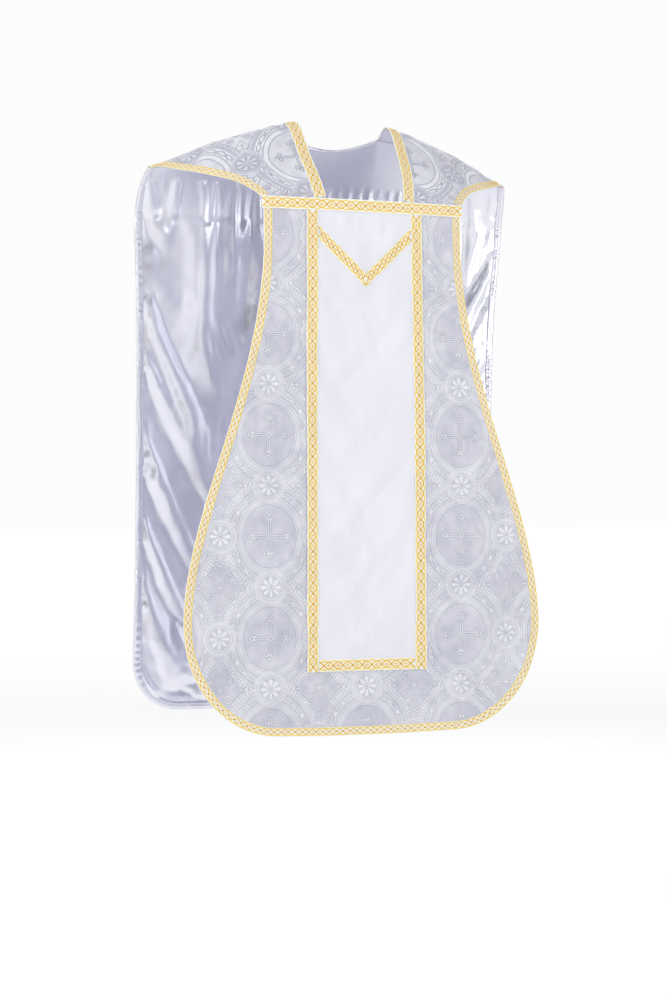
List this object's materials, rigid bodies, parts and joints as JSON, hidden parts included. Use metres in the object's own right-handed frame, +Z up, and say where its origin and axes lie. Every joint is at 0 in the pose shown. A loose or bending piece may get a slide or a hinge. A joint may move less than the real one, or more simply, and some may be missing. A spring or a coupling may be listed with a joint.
{
  "type": "chasuble",
  "caption": "Fiddleback-cut damask vestment: narrow-waisted front panel and wide back panel hung from shoulder pieces, open at neck and sides, edged in gold braid.",
  "frame": {"origin": "middle of the neck opening at the height where the shoulder pieces rest on the wearer", "axes": "+X towards the wearer's left, +Y towards the wearer's back (the front panel faces -Y), +Z up; the garment hangs down from the origin"},
  "size_m": [0.724, 0.2537, 1.0907],
  "materials": {
    "brocade": "silver-white damask with a woven medallion and cross pattern, soft satin shine",
    "canvas": "stiff plain-woven interlining",
    "lining": "bright silver-white satin",
    "orphrey": "smooth plain white cloth",
    "braid": "gold thread braid of two crossing strands on white ground"
  },
  "bodies": {
    "shoulder_yoke": {"shoulder_brocade_left": "brocade", "shoulder_canvas_left": "canvas", "shoulder_lining_left": "lining", "neck_galloon_left": "braid", "arm_galloon_left": "braid", "upper_back_edge_galloon_left": "braid", "shoulder_brocade_right": "brocade", "shoulder_canvas_right": "canvas", "shoulder_lining_right": "lining", "neck_galloon_right": "braid", "arm_galloon_right": "braid", "upper_back_edge_galloon_right": "braid", "upper_back_brocade": "brocade", "upper_back_canvas": "canvas", "upper_back_lining": "lining", "chest_band": "canvas", "chest_galloon": "braid", "neck_galloon_back": "braid", "upper_back_galloon": "braid"},
    "front_panel": {"front_brocade": "brocade", "front_canvas": "canvas", "front_lining": "lining", "front_facing": "lining", "front_orphrey": "orphrey", "front_edge_galloon": "braid", "front_pillar_galloon_left": "braid", "front_pillar_galloon_right": "braid", "front_pillar_galloon_foot": "braid", "front_chevron_galloon_left": "braid", "front_chevron_galloon_right": "braid"},
    "back_panel": {"back_brocade": "brocade", "back_canvas": "canvas", "back_lining": "lining", "back_facing": "lining", "back_orphrey": "orphrey", "back_edge_galloon": "braid", "back_pillar_galloon_left": "braid", "back_pillar_galloon_right": "braid", "back_pillar_galloon_foot": "braid", "back_chevron_galloon_left": "braid", "back_chevron_galloon_right": "braid"}
  },
  "joints": [
    {"name": "front_panel_swing", "type": "hinge", "parent": "shoulder_yoke", "child": "front_panel", "pos_m": [0, -0.0996, -0.1667], "axis": [-1, 0, 0], "range_deg": [0, 40]},
    {"name": "back_panel_lift", "type": "hinge", "parent": "shoulder_yoke", "child": "back_panel", "pos_m": [0, 0.1168, -0.1767], "axis": [1, 0, 0], "range_deg": [0, 40]}
  ]
}
